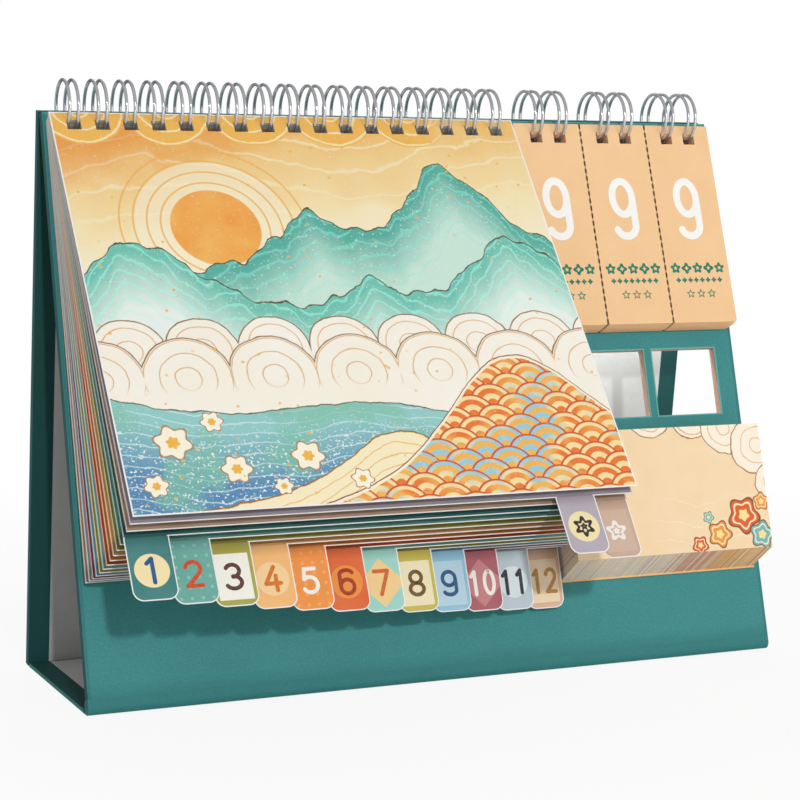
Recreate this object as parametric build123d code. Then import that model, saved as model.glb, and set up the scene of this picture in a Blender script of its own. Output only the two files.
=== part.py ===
from build123d import *
from math import acos, atan2, cos, degrees, hypot, pi, radians, sin, sqrt
import os

# Desk calendar easel: millimetres, X to the right, Y to the rear, Z up.
# The origin is the middle of the footprint on the desk.

# Easel
FRONT_TILT = 14.5
BASE_DEPTH = 75.0
BOARD_THICKNESS = 3.0
BASE_THICKNESS = 1.2
WRAP_THICKNESS = 0.3
LINER_THICKNESS = 0.3
TURN_IN = 6.5
FOLD_RIM = 0.6

# Rolled crease along the front foot and the gutter behind it
CREASE_RADIUS = 2.2
CREASE_ROOM = 0.3
BASE_GUTTER = 4.5
BASE_FLAP_START = 0.4
BASE_REAR_GAP = 1.4

# Ring binding: the axis stands above the board tops and behind the front face
RING_RADIUS = 8.0
WIRE_DIAMETER = 1.0
RING_PITCH = 8.4667
TWIN_SPACING = 2.6
ROOT_BEND = 1.0
AXIS_ABOVE_TOPS = 1.5
AXIS_BEHIND_FRONT = 0.1
BACK_FACE_REACH = 6.2
TIP_ANGLE = 363.0
ROOT_ANGLE = 27.2
RING_EDGE = 3.0

# Punched holes
HOLE_WIDTH = 4.2
HOLE_HEIGHT = 3.6
HOLE_DROP = 4.6
HANG_CLEARANCE = 0.15
BOARD_HOLE_HEIGHT = 4.8

# Calendar sheets, counted from the board outwards
SHEET_COUNT = 15
MONTH_COUNT = 12
SHEET_LEFT = 1.0
SHEET_WIDTH = 149.0
SHEET_LENGTH = 134.5
SHEET_THICKNESS = 0.2
SHEET_PITCH = 0.16
SHEET_CLEARANCE = 0.2
FIRST_FAN = 1.3
FAN_STEP = 1.55
TAB_HEIGHT = 18.0
TAB_ROUND = 3.0
FOOT_SHOWN = 22.2

# Counter cards, three packs of ten
COUNTER_NAMES = ("hundreds", "tens", "units")
CARD_COUNT = 10
COLUMN_GAP = 0.8
COLUMN_WIDTH = 71.4
RIGHT_MARGIN = 1.8
CARD_GAP = 0.3
CARD_LENGTH = 66.8
CARD_THICKNESS = 0.28
CARD_STACK_PITCH = 0.33
CARD_FIRST_FAN = 0.5
CARD_FAN_STEP = 0.33
CARD_ROUND = 0.8

# Two windows in the front board, set from its right edge and below the cards
LEFT_WINDOW_WIDTH = 21.1
RIGHT_WINDOW_WIDTH = 23.4
WINDOW_BAR = 3.2
WINDOW_SIDE = 7.0
WINDOW_DROP = 8.9
WINDOW_HEIGHT = 21.5

# Memo pad below the windows, leaning upwards towards the front
MEMO_INSET = 0.4
MEMO_RIGHT_INSET = 1.2
MEMO_DROP = 10.8
MEMO_HEIGHT = 39.5
MEMO_BACKING = 0.8
MEMO_BACKING_RIM = 0.5
MEMO_BLOCK = 12.8
MEMO_SHEET = 0.2
MEMO_LEAN = 5.0

# The easel is cut to what it carries: the sheets on the left, cards and memo pad on the right
CARD_LEFT = SHEET_LEFT + SHEET_WIDTH + COLUMN_GAP
CARD_PITCH = (COLUMN_WIDTH + CARD_GAP) / len(COUNTER_NAMES)
CARD_WIDTH = CARD_PITCH - CARD_GAP
EASEL_WIDTH = CARD_LEFT + COLUMN_WIDTH + RIGHT_MARGIN
FRONT_SLOPE = SHEET_LENGTH + TAB_HEIGHT + FOOT_SHOWN
WINDOW_TOP = CARD_LENGTH + WINDOW_DROP
MEMO_LEFT = CARD_LEFT + MEMO_INSET
MEMO_WIDTH = COLUMN_WIDTH - MEMO_INSET - MEMO_RIGHT_INSET
MEMO_TOP = WINDOW_TOP + WINDOW_HEIGHT + MEMO_DROP

TILT = radians(FRONT_TILT)
FRONT_FOOT_Y = -BASE_DEPTH / 2
TOP_Y = FRONT_FOOT_Y + FRONT_SLOPE * sin(TILT)
TOP_Z = FRONT_SLOPE * cos(TILT)
AXIS_Y = TOP_Y + AXIS_ABOVE_TOPS * sin(TILT) + AXIS_BEHIND_FRONT * cos(TILT)
AXIS_Z = TOP_Z + AXIS_ABOVE_TOPS * cos(TILT) - AXIS_BEHIND_FRONT * sin(TILT)
FOOT_RUN = BASE_DEPTH / 2 - AXIS_Y
BACK_TILT = acos(BACK_FACE_REACH / hypot(FOOT_RUN, AXIS_Z)) - atan2(AXIS_Z, FOOT_RUN)
WIRE_RADIUS = WIRE_DIAMETER / 2
LEFT = -EASEL_WIDTH / 2
FRONT_INNER = AXIS_BEHIND_FRONT - BOARD_THICKNESS
BACK_INNER = BACK_FACE_REACH - BOARD_THICKNESS
CREASE_LINE = AXIS_BEHIND_FRONT - CREASE_RADIUS
CREASE_RISE = (CREASE_RADIUS - CREASE_LINE * sin(TILT) - AXIS_Z) / cos(TILT)
CREASE_Y = AXIS_Y + CREASE_RISE * sin(TILT) - CREASE_LINE * cos(TILT)


def leaf_frame(fan):
    """Plane through the ring axis for a front leaf: local y runs up the leaf, local z towards the front."""
    angle = TILT + radians(fan)
    return Plane((0, AXIS_Y, AXIS_Z), x_dir=(1, 0, 0), z_dir=(0, -cos(angle), sin(angle)))


def back_frame():
    """Plane through the ring axis for the back board: local y runs down the board, local z to the rear."""
    return Plane((0, AXIS_Y, AXIS_Z), x_dir=(1, 0, 0), z_dir=(0, cos(BACK_TILT), sin(BACK_TILT)))


def block(x0, x1, y0, y1, z0, z1):
    """Box between two corners."""
    centre = ((x0 + x1) / 2, (y0 + y1) / 2, (z0 + z1) / 2)
    return Pos(*centre) * Box(abs(x1 - x0), abs(y1 - y0), abs(z1 - z0))


def one_solid(shape):
    """The single solid inside a cut shape."""
    solids = shape.solids()
    assert len(solids) == 1, len(solids)
    return solids[0]


def covered_board(y0, y1, outer, inner, rims, openings):
    """Core, wrap and liner of a board between y0 and y1, its outer face at z = outer; the wrap turns in by the
    two rims at y0 and y1, where a fold keeps only a narrow one."""
    side = 1 if outer > inner else -1
    skin = side * WRAP_THICKNESS
    liner = side * LINER_THICKNESS
    half = EASEL_WIDTH / 2
    whole = block(-half, half, y0, y1, inner, outer)
    wrap = WRAP_THICKNESS
    core = block(-half + wrap, half - wrap, y0 + wrap, y1 - wrap, inner + liner, outer - skin)
    lining = block(-half + TURN_IN, half - TURN_IN, y0 + rims[0], y1 - rims[1], inner, inner + liner)
    cover = whole - core - lining
    pieces = []
    for piece in (core, cover, lining):
        pieces.append(one_solid(piece - openings) if openings else one_solid(piece))
    return pieces


def ring_stations(first, count):
    """Centres of the twin loops in X, counted from the left edge of the easel."""
    return [LEFT + first + RING_PITCH * i for i in range(count)]


def centred_stations(left, width):
    """As many twin loops as a leaf of this width takes, centred on it."""
    count = int((width - HOLE_WIDTH - 2 * RING_EDGE) / RING_PITCH) + 1
    return ring_stations(left + width / 2 - RING_PITCH * (count - 1) / 2, count)


CALENDAR_STATIONS = centred_stations(SHEET_LEFT, SHEET_WIDTH)
COUNTER_STATIONS = []
for pack in range(len(COUNTER_NAMES)):
    COUNTER_STATIONS.append(centred_stations(CARD_LEFT + CARD_PITCH * pack, CARD_WIDTH))
ALL_STATIONS = CALENDAR_STATIONS + [x for group in COUNTER_STATIONS for x in group]


def punched(stations, y_middle, height, z0, z1):
    """Row of square punch tools."""
    half = HOLE_WIDTH / 2
    return [block(x - half, x + half, y_middle - height / 2, y_middle + height / 2, z0, z1) for x in stations]


def ring_point(x, angle, along=0.0):
    """Point on the ring at an angle from straight down, shifted along the ring's tangent."""
    turn = radians(angle)
    y = AXIS_Y + RING_RADIUS * sin(turn) + along * cos(turn)
    z = AXIS_Z - RING_RADIUS * cos(turn) + along * sin(turn)
    return Vector(x, y, z)


def leg_arcs(x, start, end):
    """Three arcs of one ring leg."""
    step = (end - start) / 3
    arcs = []
    for i in range(3):
        a = start + step * i
        arcs.append(ThreePointArc(ring_point(x, a), ring_point(x, a + step / 2), ring_point(x, a + step)))
    return arcs


def twin_loop_wire(stations):
    """One unbroken wire: up the left leg, round the tip, down the right leg and along to the next loop."""
    half = TWIN_SPACING / 2
    lean = half * sqrt(0.5)
    bend = ROOT_BEND
    swing = bend * (1 - sqrt(0.5))
    reach = bend * sqrt(0.5)
    edges = []
    for i, x in enumerate(stations):
        edges += leg_arcs(x - half, ROOT_ANGLE, TIP_ANGLE)
        tip = ring_point(x, TIP_ANGLE, half)
        tip_in = ring_point(x - half, TIP_ANGLE)
        tip_out = ring_point(x + half, TIP_ANGLE)
        edges.append(ThreePointArc(tip_in, ring_point(x - lean, TIP_ANGLE, lean), tip))
        edges.append(ThreePointArc(tip, ring_point(x + lean, TIP_ANGLE, lean), tip_out))
        edges += leg_arcs(x + half, TIP_ANGLE, ROOT_ANGLE)
        if i + 1 < len(stations):
            onward = stations[i + 1] - half
            root = x + half
            turn_end = ring_point(root + bend, ROOT_ANGLE, -bend)
            turn_start = ring_point(onward - bend, ROOT_ANGLE, -bend)
            middle = ring_point(root + swing, ROOT_ANGLE, -reach)
            edges.append(ThreePointArc(ring_point(root, ROOT_ANGLE), middle, turn_end))
            edges.append(Line(turn_end, turn_start))
            middle = ring_point(onward - swing, ROOT_ANGLE, -reach)
            edges.append(ThreePointArc(turn_start, middle, ring_point(onward, ROOT_ANGLE)))
    path = Wire(edges)
    start = Plane(path @ 0, z_dir=path % 0)
    wire = one_solid(sweep(start * Circle(WIRE_RADIUS), path=path))
    length = sum(edge.length for edge in edges)
    return wire, length, edges


def least_self_gap(edges, spacing=0.25, near=3.0):
    """Least air between stretches of one wire further apart along it than a few millimetres."""
    points = []
    run = 0.0
    for edge in edges:
        count = max(2, int(edge.length / spacing))
        for i in range(count):
            spot = edge @ (i / count)
            points.append((run + edge.length * i / count, spot.X, spot.Y, spot.Z))
        run += edge.length
    least = 1e9
    for i, a in enumerate(points):
        for b in points[i + 1:i + 500]:
            if b[0] - a[0] > near:
                least = min(least, sqrt((a[1] - b[1]) ** 2 + (a[2] - b[2]) ** 2 + (a[3] - b[3]) ** 2))
    return least - WIRE_DIAMETER


def hang_drop(offset, thickness):
    """Depth of a leaf's hole middle below the axis: the hole hangs with its upper edge just over the slanting wire."""
    middle = offset + thickness / 2
    depth = sqrt(RING_RADIUS ** 2 - middle ** 2)
    room = (WIRE_RADIUS + HANG_CLEARANCE) * RING_RADIUS / depth + thickness / 2 * middle / depth
    return depth + HOLE_HEIGHT / 2 - room


def tab_slot(index):
    """Tab slot of a sheet counted from the board: the twelve months, then two index sheets, then none."""
    if index < MONTH_COUNT:
        return MONTH_COUNT - 1 - index
    if index < SHEET_COUNT - 1:
        return MONTH_COUNT - 1 - (index - MONTH_COUNT)
    return None


def rounded_plate(width, height, radius):
    """Flat face with its two lower corners rounded."""
    plate = Rectangle(width, height)
    low = plate.vertices().sort_by(Axis.Y)[:2]
    return fillet(low, radius)


def calendar_sheet(index):
    """One punched sheet of the calendar with its tab, hung at its place in the fan."""
    offset = AXIS_BEHIND_FRONT + SHEET_CLEARANCE + SHEET_PITCH * index
    drop = hang_drop(offset, SHEET_THICKNESS)
    top = -(drop - HOLE_DROP)
    length = SHEET_LENGTH
    left = LEFT + SHEET_LEFT
    middle_x = left + SHEET_WIDTH / 2
    outline = Pos(middle_x, top - length / 2) * Rectangle(SHEET_WIDTH, length)
    slot = tab_slot(index)
    if slot is not None:
        tab_width = SHEET_WIDTH / MONTH_COUNT
        tall = TAB_HEIGHT + TAB_ROUND
        tab_x = left + tab_width * (slot + 0.5)
        outline += Pos(tab_x, top - length - TAB_HEIGHT + tall / 2) * rounded_plate(tab_width, tall, TAB_ROUND)
    sheet = extrude(Pos(0, 0, offset) * outline, SHEET_THICKNESS, dir=(0, 0, 1))
    sheet -= punched(CALENDAR_STATIONS, -drop, HOLE_HEIGHT, offset - SHEET_PITCH, offset + 2 * SHEET_PITCH)
    return one_solid(leaf_frame(FIRST_FAN + FAN_STEP * index) * sheet)


def counter_card(pack, index):
    """One punched number card of a pack, counted from the board outwards."""
    offset = AXIS_BEHIND_FRONT + SHEET_CLEARANCE + CARD_STACK_PITCH * index
    drop = hang_drop(offset, CARD_THICKNESS)
    top = -(drop - HOLE_DROP)
    length = CARD_LENGTH
    middle_x = LEFT + CARD_LEFT + CARD_PITCH * pack + CARD_WIDTH / 2
    outline = Pos(middle_x, top - length / 2) * rounded_plate(CARD_WIDTH, length, CARD_ROUND)
    card = extrude(Pos(0, 0, offset) * outline, CARD_THICKNESS, dir=(0, 0, 1))
    below, above = offset - CARD_STACK_PITCH, offset + 2 * CARD_STACK_PITCH
    card -= punched(COUNTER_STATIONS[pack], -drop, HOLE_HEIGHT, below, above)
    return one_solid(leaf_frame(CARD_FIRST_FAN + CARD_FAN_STEP * index) * card)


def memo_layer(z0, z1, rim):
    """Slab of the memo pad between two heights above the board, leaning upwards with height."""
    rise = MEMO_LEAN / (MEMO_BLOCK + MEMO_SHEET)
    base = AXIS_BEHIND_FRONT + MEMO_BACKING
    left = LEFT + MEMO_LEFT - rim
    top = -AXIS_ABOVE_TOPS - MEMO_TOP + rim
    low = top - MEMO_HEIGHT - 2 * rim
    lift0 = max(0.0, z0 - base) * rise
    lift1 = max(0.0, z1 - base) * rise
    side = Polyline((low + lift0, z0), (top + lift0, z0), (top + lift1, z1), (low + lift1, z1), close=True)
    profile = Plane((left, 0, 0), x_dir=(0, 1, 0), z_dir=(1, 0, 0)) * make_face(side)
    return one_solid(leaf_frame(0) * extrude(profile, MEMO_WIDTH + 2 * rim, dir=(1, 0, 0)))


nodes = {}

# Front board with its two windows and the row of punched holes
openings = []
deep, proud = FRONT_INNER - BOARD_THICKNESS, AXIS_BEHIND_FRONT + BOARD_THICKNESS
window_top = -AXIS_ABOVE_TOPS - WINDOW_TOP
right_window = -LEFT - WINDOW_SIDE - RIGHT_WINDOW_WIDTH
left_window = right_window - WINDOW_BAR - LEFT_WINDOW_WIDTH
for x, width in ((left_window, LEFT_WINDOW_WIDTH), (right_window, RIGHT_WINDOW_WIDTH)):
    openings.append(block(x, x + width, window_top - WINDOW_HEIGHT, window_top, deep, proud))
front_hole = -sqrt(RING_RADIUS ** 2 - ((AXIS_BEHIND_FRONT + FRONT_INNER) / 2) ** 2)
openings += punched(ALL_STATIONS, front_hole, HOLE_HEIGHT, deep, proud)
front_foot = CREASE_RISE + CREASE_RADIUS
front = covered_board(front_foot, -AXIS_ABOVE_TOPS, AXIS_BEHIND_FRONT, FRONT_INNER, (FOLD_RIM, TURN_IN), openings)
for name, piece in zip(("core", "wrap", "liner"), front):
    nodes["front_board_" + name] = leaf_frame(0) * piece

# Back board: same build, its inner lower edge on the desk
back_length = (AXIS_Z - BACK_INNER * -sin(BACK_TILT)) / cos(BACK_TILT)
back_hole = (sqrt(RING_RADIUS ** 2 - BACK_INNER ** 2) + sqrt(RING_RADIUS ** 2 - BACK_FACE_REACH ** 2)) / 2
deep, proud = BACK_INNER - BOARD_THICKNESS, BACK_FACE_REACH + BOARD_THICKNESS
openings = punched(ALL_STATIONS, back_hole, BOARD_HOLE_HEIGHT, deep, proud)
back = covered_board(AXIS_ABOVE_TOPS, back_length, BACK_FACE_REACH, BACK_INNER, (TURN_IN, FOLD_RIM), openings)
for name, piece in zip(("core", "wrap", "liner"), back):
    nodes["back_board_" + name] = back_frame() * piece

# Rolled crease along the front foot: flush with the board above it and rounded down to the desk
inner_step = CREASE_LINE - FRONT_INNER
inner_rise = CREASE_RISE + sqrt(CREASE_RADIUS ** 2 - inner_step ** 2)
round_low = (CREASE_RISE - CREASE_RADIUS, CREASE_LINE)
slant = CREASE_RADIUS * sqrt(0.5)
front_turn = ThreePointArc((CREASE_RISE, AXIS_BEHIND_FRONT), (CREASE_RISE - slant, CREASE_LINE + slant), round_low)
rear_turn = ThreePointArc(round_low, (CREASE_RISE, CREASE_LINE - CREASE_RADIUS), (inner_rise, FRONT_INNER))
lip = Polyline((inner_rise, FRONT_INNER), (front_foot, FRONT_INNER), (front_foot, AXIS_BEHIND_FRONT), (CREASE_RISE, AXIS_BEHIND_FRONT))
profile = Plane((LEFT, 0, 0), x_dir=(0, 1, 0), z_dir=(1, 0, 0)) * make_face(front_turn.edges() + rear_turn.edges() + lip.edges())
nodes["front_foot_crease"] = one_solid(leaf_frame(0) * extrude(profile, EASEL_WIDTH, dir=(1, 0, 0)))

# Base: a stiff board in the same wrap, with a thin gutter strip that bends at the crease
base_rear = BASE_DEPTH / 2 - BOARD_THICKNESS / cos(BACK_TILT) - BASE_REAR_GAP
base_front = CREASE_Y + BASE_GUTTER
base = covered_board(base_front, base_rear, 0.0, BASE_THICKNESS, (FOLD_RIM, FOLD_RIM), None)
flap_front = CREASE_Y + BASE_FLAP_START
half_width = EASEL_WIDTH / 2
gutter = block(-half_width, half_width, flap_front, base_front + WRAP_THICKNESS, 0, WRAP_THICKNESS)
hollow = Pos(0, CREASE_Y, CREASE_RADIUS) * Rot(0, 90, 0) * Cylinder(CREASE_RADIUS + CREASE_ROOM, 2 * EASEL_WIDTH)
nodes["base_board_core"] = base[0]
nodes["base_board_wrap"] = one_solid(base[1] + (gutter - hollow))
nodes["base_board_liner"] = base[2]

# Ring wires
calendar_wire, wire_length, wire_edges = twin_loop_wire(CALENDAR_STATIONS)
nodes["calendar_wire"] = calendar_wire
counter_wires = []
for stations in COUNTER_STATIONS:
    counter_wires.append(twin_loop_wire(stations)[0])
nodes["counter_wires"] = Compound(children=counter_wires)
section = pi * WIRE_RADIUS ** 2
print("calendar wire volume", round(calendar_wire.volume, 2), "section x length", round(section * wire_length, 2))
print("calendar wire least gap to itself", round(least_self_gap(wire_edges[:28]), 3))

# Calendar sheets
for index in range(SHEET_COUNT):
    if index < MONTH_COUNT:
        name = "month_sheet_%02d" % (MONTH_COUNT - index)
    elif index < SHEET_COUNT - 1:
        name = "index_sheet_%d" % (SHEET_COUNT - 1 - index)
    else:
        name = "cover_sheet"
    nodes[name] = calendar_sheet(index)

# Counter cards
for pack, counter in enumerate(COUNTER_NAMES):
    for index in range(CARD_COUNT):
        nodes["%s_card_%d" % (counter, index)] = counter_card(pack, index)

# Memo pad on its backing card
memo_floor = AXIS_BEHIND_FRONT
memo_base = memo_floor + MEMO_BACKING
memo_face = memo_base + MEMO_BLOCK
nodes["memo_backing_card"] = memo_layer(memo_floor, memo_base, MEMO_BACKING_RIM)
nodes["memo_block"] = memo_layer(memo_base, memo_face, 0.0)
nodes["memo_top_sheet"] = memo_layer(memo_face, memo_face + MEMO_SHEET, 0.0)

os.makedirs("parts", exist_ok=True)
for name, shape in nodes.items():
    shape.label = name
    export_step(shape, "parts/" + name + ".step")

print("nodes", len(nodes))
print("ring axis y, z", round(AXIS_Y, 4), round(AXIS_Z, 4), "back tilt", round(degrees(BACK_TILT), 3))
print("crease axis y, z", round(CREASE_Y, 4), CREASE_RADIUS, "base rear", round(base_rear, 3))
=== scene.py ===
import bpy
import numpy as np
from math import cos, pi, radians, sin, sqrt
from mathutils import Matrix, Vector


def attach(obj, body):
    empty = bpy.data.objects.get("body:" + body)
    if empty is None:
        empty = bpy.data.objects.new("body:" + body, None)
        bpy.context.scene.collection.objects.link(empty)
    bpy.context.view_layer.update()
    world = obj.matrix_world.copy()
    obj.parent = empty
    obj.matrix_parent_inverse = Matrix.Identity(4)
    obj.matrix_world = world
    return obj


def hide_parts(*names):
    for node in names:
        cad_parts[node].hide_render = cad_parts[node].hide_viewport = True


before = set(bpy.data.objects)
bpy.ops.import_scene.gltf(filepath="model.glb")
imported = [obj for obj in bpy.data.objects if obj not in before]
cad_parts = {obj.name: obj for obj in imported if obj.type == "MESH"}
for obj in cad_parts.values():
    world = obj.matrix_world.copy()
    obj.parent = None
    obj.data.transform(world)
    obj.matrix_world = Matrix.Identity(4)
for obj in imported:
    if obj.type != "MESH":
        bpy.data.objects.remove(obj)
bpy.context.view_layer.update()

# Millimetre values shared with the solids: ring axis, boards, rings, holes, leaves, cards, memo pad, crease
AXIS_Y, AXIS_Z = 6.7138, 170.5626
HALF_WIDE = 112.0
TILT, BACK_TILT = 14.5, 8.182
BOARD_FRONT, BOARD_INNER, BACK_INNER, BASE_TOP = 0.1, -2.9, -3.2, 1.2
TOP_FOLD, FOOT_FOLD = -1.8, -169.5
RING_RADIUS, WIRE_RADIUS, RING_PITCH, TWIN = 8.0, 0.5, 8.4667, 2.6
HOLE_DROP, HOLE_HALF, WIRE_ROOM = 4.6, 1.8, 0.65
SHEET_LEFT, SHEET_WIDTH, SHEET_LENGTH, SHEET_THICK = -111.0, 149.0, 134.5, 0.2
SHEET_BACK, SHEET_STEP, SHEET_ANGLE, SHEET_FAN = 0.3, 0.16, 1.3, 1.55
CARD_LEFT, CARD_PITCH, CARD_WIDTH, CARD_LENGTH, CARD_THICK = 38.8, 23.9, 23.6, 66.8, 0.28
CARD_BACK, CARD_STEP, CARD_ANGLE, CARD_FAN = 0.3, 0.33, 0.5, 0.33
MEMO_LEFT, MEMO_TOP, MEMO_BASE, MEMO_FACE, MEMO_LEAN = 39.2, -109.5, 0.9, 13.9, 5.0
MEMO_RISE = MEMO_LEAN / (MEMO_FACE - MEMO_BASE)
CREASE_Y, CREASE_Z = -34.6587, 2.2
HINGE_RADIUS, HINGE_START, HINGE_END, HINGE_ROWS = 2.46, 28, 112, 31

# Counts: months, place of the cover from the board, cards of a pack, twin loops of the calendar wire
MONTHS, COVER, CARDS, LOOPS = 12, 14, 10, 17
COUNTERS = ("hundreds", "tens", "units")
TAB_WIDE, TAB_TALL, TAB_ROUND, TAB_MIDDLE = SHEET_WIDTH / MONTHS, 18.0, 3.0, 9.6


def ink(red, green, blue):
    """A printed colour in 0-255 screen values as scene-linear RGBA."""
    level = np.array([red, green, blue]) / 255
    linear = np.where(level <= 0.04045, level / 12.92, ((level + 0.055) / 1.055) ** 2.4)
    return (*linear.tolist(), 1.0)


# ---------------------------------------------------------------- shader maths

class Flow:
    """A value on its way through a finish: arithmetic on it adds Math nodes."""

    def __init__(self, finish, socket):
        self.finish, self.socket = finish, socket

    def step(self, operation, *terms, clamp=False):
        settings = {"operation": operation, "use_clamp": clamp}
        return self.finish.node("ShaderNodeMath", settings, dict(enumerate(terms)))

    def __add__(self, other):
        return self.step("ADD", self, other)

    def __sub__(self, other):
        return self.step("SUBTRACT", self, other)

    def __rsub__(self, other):
        return self.step("SUBTRACT", other, self)

    def __mul__(self, other):
        return self.step("MULTIPLY", self, other)

    def __truediv__(self, other):
        return self.step("DIVIDE", self, other)

    def __rtruediv__(self, other):
        return self.step("DIVIDE", other, self)

    def __mod__(self, other):
        return self.step("FLOORED_MODULO", self, other)

    def __pow__(self, other):
        return self.step("POWER", self, other)

    def __abs__(self):
        return self.step("ABSOLUTE", self)

    __rmul__ = __mul__

    def sine(self):
        return self.step("SINE", self)

    def floor(self):
        return self.step("FLOOR", self)

    def least(self, other):
        return self.step("MINIMUM", self, other)

    def most(self, other):
        return self.step("MAXIMUM", self, other)

    def above(self, edge, soft=0.1):
        """1 where the value is over an edge, 0 under it, with a soft change between."""
        return self.step("MULTIPLY_ADD", self - edge, 1 / soft, 0.5, clamp=True)

    def below(self, edge, soft=0.1):
        return self.step("MULTIPLY_ADD", self - edge, -1 / soft, 0.5, clamp=True)

    def near(self, middle, reach, soft=0.1):
        """1 within a reach of a middle value."""
        return abs(self - middle).below(reach, soft)


class Finish:
    """A procedural material: one shader, and nodes added one by one."""

    def __init__(self, name, **constants):
        self.material = bpy.data.materials.new(name)
        self.material.use_nodes = True
        self.tree = self.material.node_tree
        self.shader = self.tree.nodes["Principled BSDF"]
        for socket, value in constants.items():
            self.shader.inputs[socket.replace("_", " ").title().replace("Ior", "IOR")].default_value = value

    def node(self, kind, settings=None, sockets=None, out=0):
        """Any node: its settings first, then the values or links of its sockets."""
        made = self.tree.nodes.new(kind)
        for name, value in (settings or {}).items():
            setattr(made, name, value)
        for key, value in (sockets or {}).items():
            if isinstance(value, Flow):
                self.tree.links.new(value.socket, made.inputs[key])
            else:
                made.inputs[key].default_value = value
        return Flow(self, made.outputs[out])

    def place(self):
        """Object coordinates in millimetres."""
        spot = self.node("ShaderNodeTexCoord", out=3)
        return [self.node("ShaderNodeSeparateXYZ", {}, {0: spot}, out=i) * 1000 for i in range(3)]

    def noise(self, across, up, out, size, detail):
        """Cloudy noise from 0 to 1 whose lumps are about this many millimetres wide."""
        spot = self.node("ShaderNodeCombineXYZ", {}, {0: across, 1: up, 2: out})
        return self.node("ShaderNodeTexNoise", {}, {"Vector": spot, "Scale": 1 / size, "Detail": detail})

    def blend(self, mask, under, over):
        """The over colour where the mask is 1, the under colour where it is 0."""
        return self.node("ShaderNodeMix", {"data_type": "RGBA"}, {0: mask, 6: under, 7: over}, out=2)

    def wear(self, socket, value):
        self.tree.links.new(value.socket, self.shader.inputs[socket])

    def relief(self, height, depth, strength):
        """Bump whose height is in millimetres times depth."""
        sockets = {"Strength": strength, "Distance": depth / 1000, "Height": height}
        self.wear("Normal", self.node("ShaderNodeBump", {}, sockets))


def leaf_place(finish, angle):
    """Across, up and out in millimetres for a leaf at this angle from upright, from the ring axis."""
    x, y, z = finish.place()
    s, c = sin(radians(angle)), cos(radians(angle))
    y, z = y - AXIS_Y, z - AXIS_Z
    return x, y * s + z * c, z * s - y * c


def leaf_points(across, up, out, angle):
    """World metres of leaf points: the leaf frame turned about the ring axis."""
    s, c = sin(radians(angle)), cos(radians(angle))
    across, up, out = np.broadcast_arrays(across, up, out)
    return np.stack([across, AXIS_Y + up * s - out * c, AXIS_Z + up * c + out * s], -1) / 1000


def span(du, dv):
    """Straight distance from its two parts."""
    return (du * du + dv * dv) ** 0.5


def spread(u, v, u0, v0):
    """Distance in millimetres from a point of the print."""
    return span(u - u0, v - v0)


def scallops(u, v, radius):
    """Distance from the centre of the scale that shows at each point: rows of discs half a radius apart,
    every other row shifted by one radius, each row in front of the row above it."""
    rise = radius / 2
    row = (v / rise).floor()
    part = v % rise
    odd = row % 2.0
    gaps = []
    for j in (0, 1, 2):
        shift = odd if j != 1 else 1 - odd
        du = (u - shift * radius + radius) % (2 * radius) - radius
        gaps.append(span(du, part - j * rise))
    front, middle = gaps[2].below(radius, 0.02), gaps[1].below(radius, 0.02)
    inner = middle * gaps[1] + (1 - middle) * gaps[0]
    return front * gaps[2] + (1 - front) * inner


def blossom(u, v, u0, v0, size, petals, turn):
    """Distance over size for a flower: the rim swells and shrinks once a petal round the middle."""
    du, dv = u - u0, v - v0
    angle = dv.step("ARCTAN2", dv, du)
    rim = (angle * petals + turn).sine() * 0.13 + 0.87
    return span(du, dv) / (rim * size)


def paper_surface(finish, across, up, out, grain=0.02):
    """Fine fibre relief and a slightly uneven gloss for any paper."""
    fibre = finish.noise(across, up, out, 0.35, 3.0)
    finish.relief(fibre, grain, 0.5)
    finish.wear("Roughness", fibre * 0.16 + 0.5)


# ---------------------------------------------------------------- boards

WINDOWS = ((57.3, 21.1), (81.6, 23.4))
WINDOW_TOP, WINDOW_HIGH = -77.2, 21.5
SHADED_TEAL, INSIDE_SHADE_TEAL = ink(38, 98, 98), ink(24, 64, 63)


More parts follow.
